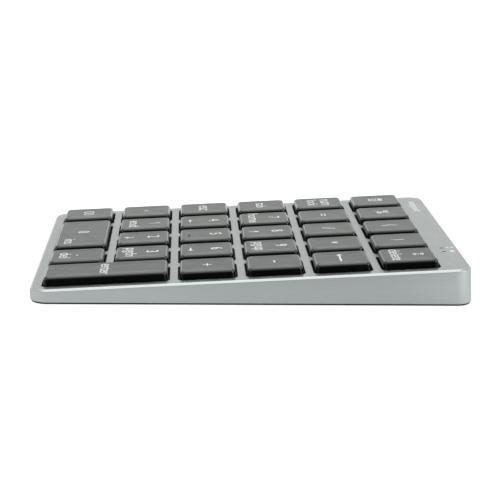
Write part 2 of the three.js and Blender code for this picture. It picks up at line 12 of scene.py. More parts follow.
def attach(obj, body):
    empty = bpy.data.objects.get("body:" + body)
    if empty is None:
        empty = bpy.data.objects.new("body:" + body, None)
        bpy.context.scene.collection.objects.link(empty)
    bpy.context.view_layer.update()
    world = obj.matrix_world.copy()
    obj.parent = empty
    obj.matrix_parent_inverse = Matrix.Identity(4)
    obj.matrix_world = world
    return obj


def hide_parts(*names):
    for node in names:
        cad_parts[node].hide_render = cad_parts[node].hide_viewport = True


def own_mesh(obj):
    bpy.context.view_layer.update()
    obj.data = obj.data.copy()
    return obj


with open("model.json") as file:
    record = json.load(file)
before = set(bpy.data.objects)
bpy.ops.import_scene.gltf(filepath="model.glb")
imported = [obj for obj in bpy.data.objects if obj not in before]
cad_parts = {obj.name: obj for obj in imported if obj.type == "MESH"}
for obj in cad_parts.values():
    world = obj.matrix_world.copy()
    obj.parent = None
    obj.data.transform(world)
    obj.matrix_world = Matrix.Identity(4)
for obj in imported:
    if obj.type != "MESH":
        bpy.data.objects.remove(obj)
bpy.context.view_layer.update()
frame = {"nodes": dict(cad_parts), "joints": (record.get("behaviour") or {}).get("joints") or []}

MM = 0.001

# -------------------- places taken from the frame, in mm

JOINTS = {joint["name"]: joint for joint in frame["joints"]}
PRESS = JOINTS["5_press"]["axis"]  # every key is pressed along this, square to the plate
SWITCH_THROW = JOINTS["power_switch_slide"]["range_m"][1] / MM
SIN, COS = PRESS[1], -PRESS[2]
SLOPE = SIN / COS


def to_plate(point):
    """A point of the row frame, turned so that the key plate lies level."""
    return Vector((point.x, point.y * COS + point.z * SIN, point.z * COS - point.y * SIN))


def from_plate(x, y, z):
    """The row-frame point of a place given on the level plate."""
    return Vector((x, y * COS - z * SIN, y * SIN + z * COS))


class Box:
    """The box round a CAD node in mm, in the row frame or turned to the plate."""

    def __init__(self, node, turned=False):
        points = [v.co / MM for v in frame["nodes"][node].data.vertices]
        if turned:
            points = [to_plate(p) for p in points]
        self.low = Vector(min(p[i] for p in points) for i in range(3))
        self.high = Vector(max(p[i] for p in points) for i in range(3))
        self.middle = (self.low + self.high) / 2
        self.half = (self.high - self.low) / 2


# The case is square to its plate, so its walls run along the plate axes.
CASE = Box("top_case", turned=True)
COVER_BOX = Box("bottom_cover")
PLATE = CASE.high.z
WALL_TRIM = 0.03  # how much higher than the CAD's walls the fine ones end
WALL_BOTTOM = Box("top_case").low.z + WALL_TRIM


def plate_height(y):
    """Height of the plate's upper surface over a point y to the rear of the middle."""
    return PLATE / COS + y * SLOPE


def on_plate(x, y, z):
    """Row-frame point at x, y on the plate and z above its upper surface, all in plate axes."""
    return from_plate(x, y, PLATE + z)


def upright(x, y, z):
    return Vector((x, y, z))


class Key(Box):
    """Where one keycap stands: its middle and half sizes at the skirt, in plate axes."""

    def __init__(self, node):
        super().__init__(node, turned=True)
        self.node = node
        self.name = node.removeprefix("key_")
        self.x, self.y = self.middle.xy
        self.half_x, self.half_y = self.half.xy

    def place(self, x, y, z):
        return on_plate(self.x + x, self.y + y, z)


def nodes_of(prefix):
    return [node for node in frame["nodes"] if node.startswith(prefix)]


SCREWS = nodes_of("screw_")
FEET = nodes_of("foot_")
LIGHT_PIPES = nodes_of("light_pipe_")
KEYS = [key for key in map(Key, nodes_of("key_")) if f"{key.name}_press" in JOINTS]

# -------------------- dimensions of the fine shapes, in mm

CORNER = 5.0
CORNER_STEPS = 12  # segments round each upright corner of the case and its cover
CHAMFER = 0.6
WALL = 1.8
PLATE_THICKNESS = 1.0
OPENING_GAP = 0.425  # between a skirt and the edge of its opening, on each side
OPENING_CORNER = 1.7
OPENING_EDGE = 0.12
SLOT_EDGE = 0.2  # rounding round the slots in the rear wall
EDGE_STEPS = 3  # segments round a softened edge

KEY_CROWN = 0.1  # the moulded tops stand this much above the plain ones
KEY_TOP = Box("key_enter", turned=True).high.z - PLATE + KEY_CROWN
KEY_LIFT = {"enter": 0.3, "delete": 0.15, "backspace": 0.15}  # keys that rest a little higher
SKIRT_BOTTOM = -0.5
KEY_CORNER = 1.6
KEY_CORNER_LEAST = 0.5
KEY_CORNER_TAPER = 0.8  # how fast the corners tighten as a cap narrows
KEY_DRAFT = 0.3
SIDE_DRAFT = 1.3  # how much further the left and right sides of a cap lean in, as a share
KEY_ROUND = 0.75
KEY_ROUND_STEPS = 6
KEY_DISH = 0.06
KEY_WALL = 0.9
KEY_CEILING = 0.9
CLIP_X = 4.6
CLIP_Y = 2.3
CLIP_SIDES = [(x, y) for x in (-1, 1) for y in (-1, 1)]
CLIP_GAP = 0.5  # from the middle of a clip to each of its prongs
PRONG = (0.13, 0.45, 0.4)  # half sizes
PRONG_DROP = 0.2  # how far a prong's middle hangs below the ceiling
HOME_BAR = (1.45, 0.26, 0.16)  # half sizes of the raised bar on the middle key
HOME_BAR_Y = -5.0

# -------------------- mesh building

SHARP = math.radians(50)  # two faces that meet at a wider turn than this make a sharp edge


def rounded_loop(half_x, half_y, radius, steps=8):
    """Points of a rounded rectangle, counter-clockwise from its front right corner."""
    loop = []
    for quarter, (side_x, side_y) in enumerate(((1, -1), (1, 1), (-1, 1), (-1, -1))):
        for step in range(steps + 1):
            angle = math.radians(90 * (quarter - 1 + step / steps))
            loop.append((
                side_x * (half_x - radius) + radius * math.cos(angle),
                side_y * (half_y - radius) + radius * math.sin(angle),
            ))
    return loop


def circle_loop(radius, steps=24):
    return [
        (radius * math.cos(math.tau * i / steps), radius * math.sin(math.tau * i / steps))
        for i in range(steps)
    ]


def ring(bm, loop, z, place=upright, x=0.0, y=0.0):
    """One ring of vertices: z is a height, or a function of x and y that gives it."""
    height = z if callable(z) else (lambda px, py: z)
    return [bm.verts.new(place(x + px, y + py, height(x + px, y + py)) * MM) for px, py in loop]


def skin(bm, rings, slot=0, skip=()):
    """Quads between rings of equal length, one after another. skip leaves out segments."""
    for low, high in zip(rings, rings[1:]):
        for i in range(len(low)):
            if i in skip:
                continue
            j = (i + 1) % len(low)
            face = bm.faces.new((low[i], low[j], high[j], high[i]))
            face.material_index = slot
            face.smooth = True


def cap(bm, outer, holes=(), slot=0):
    """A flat face that fills a ring, less the rings of its holes."""
    if not holes:
        faces = [bm.faces.new(outer)]
    else:
        loops = [outer, *holes]
        corners = [v for loop in loops for v in loop]
        flat = tessellate_polygon([[v.co / MM for v in loop] for loop in loops])
        faces = [bm.faces.new([corners[i] for i in triangle]) for triangle in flat]
    for face in faces:
        face.material_index = slot
        face.smooth = True


def closed(bm, rings, slot=0):
    """A closed body from rings, with a flat face at both ends."""
    skin(bm, rings, slot)
    cap(bm, rings[0], slot=slot)
    cap(bm, rings[-1], slot=slot)


def piece(name, bm, materials, body, slot, *replaced):
    """Finishes a mesh as a named piece that rides on a body."""
    bmesh.ops.recalc_face_normals(bm, faces=bm.faces)
    for edge in bm.edges:
        edge.smooth = edge.calc_face_angle(0) < SHARP
    mesh = bpy.data.meshes.new(name)
    bm.to_mesh(mesh)
    bm.free()
    for material in materials:
        mesh.materials.append(material)
    obj = bpy.data.objects.new(name, mesh)
    bpy.context.scene.collection.objects.link(obj)
    obj.modifiers.new("flat_faces_lead", "WEIGHTED_NORMAL").keep_sharp = True
    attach(obj, body)
    if replaced:
        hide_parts(*replaced)
    return obj


def arc(radius, steps):
    """(inset, drop) pairs round a quarter circle, from the flat top down to the side."""
    return [
        (radius * (1 - math.sin(a)), radius * (1 - math.cos(a)))
        for a in (math.radians(90 * i / steps) for i in range(steps + 1))
    ]


def turned_solid(bm, profile, x, y, place=upright, slot=0, steps=24):
    """A turned body from (radius, height) pairs, from one flat end to the other."""
    closed(bm, [
        ring(bm, circle_loop(radius, steps), height, place, x, y) for radius, height in profile
    ], slot)


def rounded_block(bm, half, middle, corner, edge, place=upright, slot=0, steps=4):
    """A closed block with rounded upright corners and softened upper and lower edges."""
    low, high = middle[2] - half[2], middle[2] + half[2]
    shape = arc(edge, EDGE_STEPS)
    levels = [(inset, low + drop) for inset, drop in shape]
    levels += [(inset, high - drop) for inset, drop in reversed(shape)]
    rings = []
    for inset, z in levels:
        radius = max(corner - inset, edge / 4)
        loop = rounded_loop(half[0] - inset, half[1] - inset, radius, steps)
        rings.append(ring(bm, loop, z, place, *middle[:2]))
    closed(bm, rings, slot)


# -------------------- materials


class Look:
    """A node material in the making: a Principled shader and short ways to feed it."""

    def __init__(self, name, color, roughness, metallic=0.0, **sockets):
        self.material = bpy.data.materials.new(name)
        self.material.use_nodes = True
        self.tree = self.material.node_tree
        self.nodes, self.links = self.tree.nodes, self.tree.links
        self.shader = self.nodes["Principled BSDF"]
        self.color = color
        self.shader.inputs["Base Color"].default_value = (*color, 1)
        self.shader.inputs["Roughness"].default_value = roughness
        self.shader.inputs["Metallic"].default_value = metallic
        for socket, value in sockets.items():
            self.shader.inputs[socket.replace("_", " ")].default_value = value
        self.place = self.nodes.new("ShaderNodeTexCoord").outputs["Object"]

    def stretched(self, x, y, z):
        mapping = self.nodes.new("ShaderNodeMapping")
        mapping.inputs["Scale"].default_value = (x, y, z)
        self.links.new(self.place, mapping.inputs["Vector"])
        return mapping.outputs["Vector"]

    def noise(self, size_mm, detail=2.0, vector=None):
        """Noise whose features are about size_mm across."""
        noise = self.nodes.new("ShaderNodeTexNoise")
        noise.inputs["Scale"].default_value = 1 / (size_mm * MM)
        noise.inputs["Detail"].default_value = detail
        self.links.new(vector or self.place, noise.inputs["Vector"])
        return noise.outputs["Fac"]

    def between(self, source, low, high, start=0.3, end=0.7):
        """Maps a source from start..end to low..high."""
        mapped = self.nodes.new("ShaderNodeMapRange")
        mapped.inputs["From Min"].default_value = start
        mapped.inputs["From Max"].default_value = end
        mapped.inputs["To Min"].default_value = low
        mapped.inputs["To Max"].default_value = high
        self.links.new(source, mapped.inputs["Value"])
        return mapped.outputs["Result"]

    def vary_color(self, source, darker, lighter):
        """Runs the colour from darker to lighter times itself along a source."""
        mix = self.nodes.new("ShaderNodeMix")
        mix.data_type = "RGBA"
        mix.inputs["A"].default_value = (*[c * darker for c in self.color], 1)
        mix.inputs["B"].default_value = (*[min(c * lighter, 1) for c in self.color], 1)
        self.links.new(source, mix.inputs["Factor"])
        self.links.new(mix.outputs["Result"], self.shader.inputs["Base Color"])
        return self

    def curve(self, source, start, end, values):
        """A smooth curve through evenly spaced values, as the source runs from start to end."""
        ramp = self.nodes.new("ShaderNodeValToRGB")
        stops = ramp.color_ramp
        stops.interpolation = "EASE"
        top = max(values)
        while len(stops.elements) < len(values):
            stops.elements.new(0.5)
        for i, value in enumerate(values):
            stops.elements[i].position = i / (len(values) - 1)
            stops.elements[i].color = (value / top, value / top, value / top, 1)
        self.links.new(self.between(source, 0.0, 1.0, start, end), ramp.inputs["Fac"])
        return self.between(ramp.outputs["Color"], 0.0, top, 0.0, 1.0)

    def distance(self, point):
        """How far the surface is from a point, in metres."""
        node = self.nodes.new("ShaderNodeVectorMath")
        node.operation = "DISTANCE"
        node.inputs[1].default_value = point
        self.links.new(self.place, node.inputs[0])
        return node.outputs["Value"]

    def vary_roughness(self, source, low, high):
        self.links.new(self.between(source, low, high), self.shader.inputs["Roughness"])
        return self

    def bump(self, source, depth_mm, strength=1.0):
        bump = self.nodes.new("ShaderNodeBump")
        bump.inputs["Strength"].default_value = strength
        bump.inputs["Distance"].default_value = depth_mm * MM
        self.links.new(source, bump.inputs["Height"])
        self.links.new(bump.outputs["Normal"], self.shader.inputs["Normal"])
        return self


def blasted_aluminium():
    """Bead-blasted and anodised: a fine sparkle, with a slow change of sheen."""
    look = Look("blasted_aluminium", (0.325, 0.333, 0.340), 0.36, 1.0)
    grain = look.noise(0.34)
    cloud = look.noise(9.0)
    look.vary_color(look.between(grain, 0, 1), 0.72, 1.28)
    look.vary_roughness(cloud, 0.33, 0.39)
    return look.bump(grain, 0.015, 0.6).material


def brushed_aluminium():
    """Fine level lines along the walls."""
    look = Look("brushed_aluminium", (0.372, 0.402, 0.400), 0.36, 1.0)
    lines = look.noise(0.16, 3.0, look.stretched(0.02, 0.02, 1.0))
    look.vary_color(look.between(lines, 0, 1), 0.92, 1.06)
    look.vary_roughness(lines, 0.30, 0.42)
    return look.bump(lines, 0.006, 0.5).material


def polished_aluminium():
    """The bright cut edge, with the faint lines of its cutter."""
    look = Look("polished_aluminium", (0.455, 0.47, 0.47), 0.2, 1.0)
    lines = look.noise(0.10, 2.0, look.stretched(0.05, 0.05, 1.0))
    look.vary_roughness(lines, 0.16, 0.26)
    return look.bump(lines, 0.003, 0.3).material


def grained_plastic(name, color, roughness, grain_mm=0.25, depth_mm=0.01):
    look = Look(name, color, roughness, IOR=1.48)
    grain = look.noise(grain_mm, 3.0)
    look.vary_color(look.noise(6.0), 0.85, 1.15)
    look.vary_roughness(grain, roughness - 0.05, roughness + 0.05)
    return look.bump(grain, depth_mm, 0.5).material


def key_plastic(name, shine, lacquer=0.0):
    """Black plastic: shine is its specular level and lacquer the weight of a clear coat."""
    look = Look(
        name, (0.0030, 0.0036, 0.0034), 0.22, IOR=1.42, Specular_IOR_Level=shine,
        Coat_Weight=lacquer, Coat_Roughness=0.12,
    )
    grain = look.noise(0.12)
    wear = look.noise(4.0, 3.0)
    look.vary_color(look.between(wear, 0, 1), 0.8, 1.25)
    look.vary_roughness(wear, 0.20, 0.28)
    return look.bump(grain, 0.003, 0.5).material


def printed_ink(name, color):
    look = Look(name, color, 0.5)
    look.vary_color(look.between(look.noise(0.3, 3.0), 0, 1), 0.94, 1.04)
    return look.material


def metal(name, color, roughness, grain_mm=0.3, stretch=(1, 1, 1)):
    look = Look(name, color, roughness, 1.0)
    grain = look.noise(grain_mm, 3.0, look.stretched(*stretch))
    look.vary_color(look.between(grain, 0, 1), 0.92, 1.05)
    look.vary_roughness(grain, roughness - 0.06, roughness + 0.08)
    return look.bump(grain, 0.004, 0.4).material


def clear_plastic():
    look = Look("smoked_clear", (0.03, 0.032, 0.032), 0.15, IOR=1.4)
    look.vary_roughness(look.noise(0.4), 0.05, 0.15)
    return look.material


ALUMINIUM = blasted_aluminium()
BRUSHED = brushed_aluminium()
POLISHED = polished_aluminium()
KEY_PLASTIC = key_plastic("key_plastic", 0.5)
KEY_SIDE = key_plastic("key_side_plastic", 0.13)
KEY_RIM = key_plastic("key_rim_plastic", 0.5, 0.5)
INK = printed_ink("legend_ink", (0.60, 0.62, 0.61))
PLATE_INK = printed_ink("plate_ink", (0.70, 0.71, 0.71))
COVER = grained_plastic("cover_plastic", (0.014, 0.015, 0.016), 0.6, 0.3, 0.02)
DARK_FILM = grained_plastic("dark_film", (0.012, 0.012, 0.013), 0.45, 0.5, 0.004)
SILICONE = grained_plastic("dome_silicone", (0.030, 0.030, 0.031), 0.6, 0.4, 0.01)
BLACK_PLASTIC = grained_plastic("black_plastic", (0.015, 0.015, 0.016), 0.42, 0.2, 0.008)
RUBBER = grained_plastic("foot_rubber", (0.014, 0.014, 0.014), 0.8, 0.35, 0.03)
BOARD = grained_plastic("solder_mask", (0.010, 0.090, 0.035), 0.35, 1.2, 0.01)
CREAM_PLASTIC = grained_plastic("cream_plastic", (0.72, 0.68, 0.55), 0.45)
STEEL = metal("plain_steel", (0.56, 0.56, 0.55), 0.32, 0.4, (0.05, 1, 1))
DARK_STEEL = metal("dark_steel", (0.16, 0.16, 0.17), 0.38)
GOLD = metal("contact_gold", (0.83, 0.62, 0.27), 0.25, 0.2)
FOIL = metal("pouch_foil", (0.66, 0.67, 0.69), 0.34, 1.5)
RED_WIRE = grained_plastic("red_insulation", (0.42, 0.02, 0.015), 0.4)
CLEAR = clear_plastic()

# -------------------- top case

SOCKET = Box("charging_socket")
KNOB = Box("power_switch_slider")
BOSS_REACH = 1.6  # how far the screw bosses reach down past the tops of the cover's posts
BOSS_RADIUS = 1.15
BOSS_HOLE = 0.72  # radius of the blind hole for a screw
LIGHT_HOLE = 0.62  # radius of the hole over a light pipe
SOCKET_CLEARANCE = 0.3
KNOB_CLEARANCE = 0.32
HAIR = 0.01  # leaves a short straight stretch between the two arcs of a round end


def light_spot(node):
    """Where a light pipe meets the plate's upper surface, in plate axes."""
    middle = Box(node).middle
    return to_plate(Vector((middle.x, middle.y, plate_height(middle.y))))


def wall_ring(bm, inset, height):
    """A ring inside the case's outline, at a height in plate axes or a function that gives it."""
    loop = rounded_loop(CASE.high.x - inset, CASE.half.y - inset, CORNER - inset, CORNER_STEPS)
    return ring(bm, loop, height, from_plate, 0.0, CASE.middle.y)


def level(z):
    """The plate-axes height of a level plane at z in the row frame."""
    return lambda x, y: (z - y * SIN) / COS


def plate_opening(bm, loop_at, x, y):
    """The rounded edge and the sides of one hole in the plate. Returns its top and bottom rings."""
    rings = [
        ring(bm, loop_at(inset), -drop, on_plate, x, y)
        for inset, drop in arc(OPENING_EDGE, EDGE_STEPS)
    ]
    rings.append(ring(bm, loop_at(0.0), -PLATE_THICKNESS, on_plate, x, y))
    skin(bm, rings)
    return rings[0], rings[-1]


def rear_wall_opening(bm, x, z, half_x, half_z):
    """A round-ended slot through the rear wall. Returns its outer and inner rings."""
    height = level(z)(x, CASE.high.y)

    def at(grow, depth):
        loop = rounded_loop(half_x + grow, half_z + grow, half_z + grow - HAIR)
        return [
            bm.verts.new(from_plate(x + px, CASE.high.y - depth, height + pz) * MM)
            for px, pz in loop
        ]

    rings = [at(inset, drop) for inset, drop in arc(SLOT_EDGE, EDGE_STEPS)]
    rings.append(at(0.0, WALL))
    skin(bm, rings)
    return rings[0], rings[-1]


def screw_boss(bm, x, y):
    """A post under the plate with a blind hole for a screw."""
    foot = COVER_BOX.high.z - BOSS_REACH
    root = plate_height(y) - PLATE_THICKNESS / 2
    profile = [
        (BOSS_HOLE, root - 1.1), (BOSS_HOLE, foot + 0.2), (BOSS_HOLE + 0.15, foot),
        (BOSS_RADIUS - 0.1, foot), (BOSS_RADIUS, foot + 0.1), (BOSS_RADIUS, root),
    ]
    turned_solid(bm, profile, x, y, slot=3)


def build_case():
    """The shell: a plate with a hole for every key, and walls with a bright cut edge."""
    bm = bmesh.new()
    soft = 0.05  # rounding of the two edges of the chamfer
    edge = [
        (CHAMFER + soft, 0.0), (CHAMFER - soft, soft), (soft, CHAMFER - soft),
        (0.0, CHAMFER + soft),
    ]
    chamfer = [wall_ring(bm, inset, PLATE - drop) for inset, drop in edge]
    skin(bm, chamfer, slot=1)

    rear = 2 * (CORNER_STEPS + 1) - 1  # the segment between the two rear corners
    bevel = 0.12  # of the walls' lower edge
    foot = [(0.0, WALL_BOTTOM + bevel), (bevel, WALL_BOTTOM), (WALL, WALL_BOTTOM)]
    outer_foot = [wall_ring(bm, inset, level(z)) for inset, z in foot]
    skin(bm, [chamfer[-1], outer_foot[0]], slot=2, skip=(rear,))
    skin(bm, outer_foot, slot=2)
    ceiling = wall_ring(bm, WALL, PLATE - PLATE_THICKNESS)
    skin(bm, [outer_foot[-1], ceiling], slot=3, skip=(rear,))

    slots = [
        rear_wall_opening(
            bm, part.middle.x + travel / 2, part.middle.z,
            part.half.x + travel / 2 + clearance, part.half.z + clearance,
        )
        for part, travel, clearance in (
            (SOCKET, 0.0, SOCKET_CLEARANCE), (KNOB, SWITCH_THROW, KNOB_CLEARANCE),
        )
    ]
    # The rear wall's outer and inner faces, with the two slots cut out.
    faces = ((outer_foot[0], chamfer[-1]), (outer_foot[-1], ceiling))
    for index, (low, high) in enumerate(faces):
        corners = [low[rear], low[rear + 1], high[rear + 1], high[rear]]
        cap(bm, corners, [slot[index] for slot in slots], slot=2 + index)

    openings = []
    for key in KEYS:
        def opening(inset, key=key):
            grow = OPENING_GAP + inset
            return rounded_loop(key.half_x + grow, key.half_y + grow, OPENING_CORNER + inset, 6)
        openings.append(plate_opening(bm, opening, key.x, key.y))
    for node in LIGHT_PIPES:
        openings.append(plate_opening(
            bm, lambda inset: circle_loop(LIGHT_HOLE + inset, 16), *light_spot(node).xy,
        ))
    cap(bm, chamfer[0], [top for top, bottom in openings])
    cap(bm, ceiling, [bottom for top, bottom in openings], slot=3)
    for node in SCREWS:
        screw_boss(bm, *Box(node).middle.xy)
    piece(
        "top_case_shell", bm, [ALUMINIUM, POLISHED, BRUSHED, ALUMINIUM], "root",
        "case_aluminium", "top_case",
    )


build_case()

# -------------------- keycaps


def dish(distance):
    """How far a key's upper face lies below its rim, at a distance in from the side."""
    slope_width = 2.5
    share = min(max((distance - KEY_DRAFT - KEY_ROUND) / slope_width, 0), 1)
    return KEY_DISH * share * share * (3 - 2 * share)


def key_levels(top):
    """(inset, height) of each ring of a keycap, from inside the skirt, round, to the middle."""
    height = top - SKIRT_BOTTOM
    side = KEY_DRAFT * (1 - KEY_ROUND / height)
    bevel = 0.08  # of the skirt's lower edge
    levels = [
        (KEY_WALL, KEY_CEILING),
        (KEY_WALL, SKIRT_BOTTOM),
        (bevel, SKIRT_BOTTOM),
        (0.0, SKIRT_BOTTOM + bevel),
        (side / 2, SKIRT_BOTTOM + (height - KEY_ROUND) / 2),
        (side, top - KEY_ROUND),
    ]
    rounding = arc(KEY_ROUND, KEY_ROUND_STEPS)[:-1]
    levels += [(side + inset, top - drop) for inset, drop in reversed(rounding)]
    rim = levels[-1][0]
    levels += [(rim + step, top - dish(rim + step)) for step in (0.5, 1.0, 1.6, 2.4, 3.2)]
    return levels


def key_top(key):
    return KEY_TOP + KEY_LIFT.get(key.name, 0.0)


def build_keycap(key):
    """A hollow cap with a boss that presses the dome, and four clips for its lift."""
    bm = bmesh.new()
    top = key_top(key)
    rings = []
    for inset, height in key_levels(top):
        radius = max(KEY_CORNER - KEY_CORNER_TAPER * inset, KEY_CORNER_LEAST)
        lean = SIDE_DRAFT * min(inset, KEY_DRAFT)
        loop = rounded_loop(key.half_x - inset - lean, key.half_y - inset, radius)
        rings.append(ring(bm, loop, height, key.place))
    rim = 5  # the ring where the sides begin to round over
    face = rim + KEY_ROUND_STEPS - 1
    skin(bm, rings[:rim + 1], slot=1)
    skin(bm, rings[rim:face + 1], slot=2)
    skin(bm, rings[face:])
    cap(bm, rings[0], slot=1)
    cap(bm, rings[-1])
    turned_solid(bm, [(1.75, 0.45), (1.9, 0.6), (1.9, 1.1)], 0, 0, key.place, slot=1)
    for side_x, side_y in CLIP_SIDES:
        for gap in (-CLIP_GAP, CLIP_GAP):
            middle = (side_x * CLIP_X + gap, side_y * CLIP_Y, KEY_CEILING - PRONG_DROP)
            rounded_block(bm, PRONG, middle, 0.1, 0.05, key.place, slot=1, steps=1)
    if key.name == "5":
        rounded_block(bm, HOME_BAR, (0, HOME_BAR_Y, top), 0.25, 0.12, key.place)
    materials = [KEY_PLASTIC, KEY_SIDE, KEY_RIM]
    piece(f"keycap_{key.name}", bm, materials, key.node, "keycap_plastic", key.node)


for key in KEYS:
    build_keycap(key)

# -------------------- legends

INK_THICKNESS = 0.012
INK_ROOT = 1.5 * INK_THICKNESS  # how far below its upper face the ink ends, in the surface
LETTER = 4.9  # height of the letters' em
FIGURE = 5.1
FIGURE_Y = 3.1
CAP_MIDDLE = 0.34  # half the height of a capital letter, for an em of 1
WORD_Y = -3.3  # of the words under figures


def text_shapes(text, x, y, size, width, weight=0.0):
    """Flat polygons of a text centred on x, y, as lists of (x, y) points. size is its em."""
    curve = bpy.data.curves.new("text", "FONT")
    curve.body = text
    curve.size = 1.0
    curve.offset = weight
    curve.resolution_u = 3
    holder = bpy.data.objects.new("text", curve)
    bpy.context.scene.collection.objects.link(holder)
    bpy.context.view_layer.update()
    depsgraph = bpy.context.evaluated_depsgraph_get()
    mesh = bpy.data.meshes.new_from_object(holder.evaluated_get(depsgraph))
    left = min(v.co.x for v in mesh.vertices)
    right = max(v.co.x for v in mesh.vertices)
    middle = (left + right) / 2
    stretch = width / (right - left)
    points = [
        (x + (v.co.x - middle) * stretch, y + (v.co.y - CAP_MIDDLE) * size)
        for v in mesh.vertices
    ]
    shapes = [[points[i] for i in polygon.vertices] for polygon in mesh.polygons]
    bpy.data.objects.remove(holder)
    bpy.data.meshes.remove(mesh)
    bpy.data.curves.remove(curve)
    return shapes


def word(text, width, x=0.0, y=0.0, size=LETTER):
    return text_shapes(text, x, y, size, width, 0.004)


def figure(text):
    return text_shapes(text, 0, FIGURE_Y, FIGURE, 2.2, 0.01)


def bar(x, y, width, height):
    return [[
        (x - width / 2, y - height / 2), (x + width / 2, y - height / 2),
        (x + width / 2, y + height / 2), (x - width / 2, y + height / 2),
    ]]


def arrow(length, head, shaft, quarter_turns, x, y):
    """An arrow that points right, then turned by quarter turns and moved to x, y."""
    tip = length / 2
    neck = tip - head
    point = [(neck, -head * 0.75), (tip, 0), (neck, head * 0.75)]
    shapes = [point] + bar(-head / 2, 0, length - head, shaft)
    for _ in range(quarter_turns):
        shapes = [[(-py, px) for px, py in shape] for shape in shapes]
    return [[(x + px, y + py) for px, py in shape] for shape in shapes]


def frame_shapes(x, y, width, height, line):
    """The outline of a rectangle, as four bars that don't overlap."""
    inner = height - 2 * line
    return (
        bar(x, y + (height - line) / 2, width, line)
        + bar(x, y - (height - line) / 2, width, line)
        + bar(x - (width - line) / 2, y, line, inner)
        + bar(x + (width - line) / 2, y, line, inner)
    )


def calculator_shapes():
    """A case with a display and three rows of keys."""
    shapes = frame_shapes(0, 0, 3.6, 4.5, 0.36) + bar(0, 1.25, 2.3, 0.9)
    for row in range(3):
        for column in range(3):
            shapes += bar((column - 1) * 0.82, 0.1 - row * 0.78, 0.5, 0.46)
    return shapes


def arc_band(radius, line, start, end, x, y, steps=8):
    """A band along an arc, in degrees, as quads."""
    inner, outer = radius - line / 2, radius + line / 2
    band = []
    for i in range(steps):
        a, b = (math.radians(start + (end - start) * k / steps) for k in (i, i + 1))
        band.append([
            (x + reach * math.cos(turn), y + reach * math.sin(turn))
            for reach, turn in ((inner, a), (outer, a), (outer, b), (inner, b))
        ])
    return band


def star_shapes(x, y, radius, line):
    """Three bars that cross."""
    shapes = []
    for turn in (30, 90, 150):
        along = Vector((math.cos(math.radians(turn)), math.sin(math.radians(turn)))) * radius
        across = Vector((-along.y, along.x)).normalized() * line / 2
        corners = (along + across, across - along, -along - across, along - across)
        shapes.append([(x + corner.x, y + corner.y) for corner in corners])
    return shapes


def wireless_shapes(x, y, scale):
    """A dot between two pairs of waves."""
    shapes = [[(x + px, y + py) for px, py in circle_loop(0.34 * scale, 12)]]
    for side in (90, 270):
        for radius in (0.95, 1.65):
            shapes += arc_band(radius * scale, 0.4 * scale, side - 50, side + 50, x, y)
    return shapes


def one_shapes(x, y, height, width, line):
    """The figure one: a stem with a short flag at its top left."""
    top, left = y + height / 2, x - width / 2
    stem = x + width / 2 - line
    flag = [(left, top - 1.05), (left + 0.1, top - 1.35), (stem, top - 0.55), (stem, top)]
    return bar(stem + line / 2, y, line, height) + [flag]


# Places are in mm from the middle of a key's upper face.
LEGENDS = {
    "calculator": calculator_shapes(),
    "percent": text_shapes("%", 0, 0, 5.6, 3.8, 0.01),
    "bracket_left": text_shapes("(", 0, 0.3, 5.2, 1.3, 0.01),
    "bracket_right": text_shapes(")", 0, 0.3, 4.4, 1.2, 0.0),
    "delete": word("delete", 12.3, 0, WORD_Y) + wireless_shapes(0, 3.0, 0.85),
    "num_lock": word("num", 8.8, 0, 2.7, 5.8) + word("lock", 8.5, 0, -1.9),
    "equals": bar(0, 0.5, 3.0, 0.42) + bar(0, -0.5, 3.0, 0.42),
    "slash": text_shapes("/", 0, 0, 5.5, 2.1, 0.01),
    "star": star_shapes(0, 0.05, 1.1, 0.42),
    "backspace": arrow(8.2, 1.4, 0.55, 2, 0, -0.3),
    "tab": word("tab", 7.2, 0, 0, 5.0),
    "7": figure("7") + word("home", 12.7, 0, WORD_Y),
    "8": figure("8") + arrow(3.2, 1.3, 0.5, 1, 0, -4.0),
    "9": figure("9") + word("pgup", 10.2, 0, WORD_Y + 0.2),
    "minus": bar(0, 0, 2.2, 0.45),
    "escape": word("esc", 7.0, 0, 0.4, 6.0),
    "4": figure("4") + arrow(3.6, 1.2, 0.45, 2, 0, -4.6),
    "5": figure("5"),
    "6": figure("6") + arrow(3.6, 1.2, 0.45, 0, 0, -4.6),
    "plus": bar(0, 0, 2.4, 0.45) + bar(0, 0.73, 0.45, 1.0) + bar(0, -0.73, 0.45, 1.0),
    "caret": text_shapes("^", 0, -0.6, 4.0, 1.9, 0.005),
    "1": one_shapes(0, FIGURE_Y, 3.4, 1.3, 0.42) + word("end", 8.5, 0, WORD_Y),
    "2": figure("2") + arrow(3.2, 1.3, 0.5, 3, 0, -4.4),
    "3": figure("3") + word("pgdn", 10.2, 0, WORD_Y + 0.2),
    "00": text_shapes("00", 0, 0, FIGURE, 5.6, -0.008),
    "0": text_shapes("0", -1.3, 0, FIGURE, 2.4, 0.01) + word("ins", 5.8, 10.7, WORD_Y - 0.2),
    "point": bar(0.3, 0, 0.75, 0.75) + word("del", 6.2, 0, WORD_Y - 0.2),
    "enter": word("enter", 11.4, 0.6, 0.0),
}


def build_print(name, shapes, height, place, body, ink, slot, x=0.0, y=0.0):
    """Printed shapes as thin solids: height gives the surface under a point."""
    bm = bmesh.new()
    for shape in shapes:
        verts = []
        for px, py in shape:
            co = place(x + px, y + py, height(px, py) + INK_THICKNESS) * MM
            verts.append(bm.verts.new(co))
        bm.faces.new(verts)
    bmesh.ops.remove_doubles(bm, verts=bm.verts, dist=1e-7)
    lower = bmesh.ops.extrude_face_region(bm, geom=bm.faces[:])
    down = (place(0, 0, -INK_ROOT) - place(0, 0, 0)) * MM
    moved = [g for g in lower["geom"] if isinstance(g, bmesh.types.BMVert)]
    bmesh.ops.translate(bm, verts=moved, vec=down)
    piece(name, bm, [ink], body, slot)


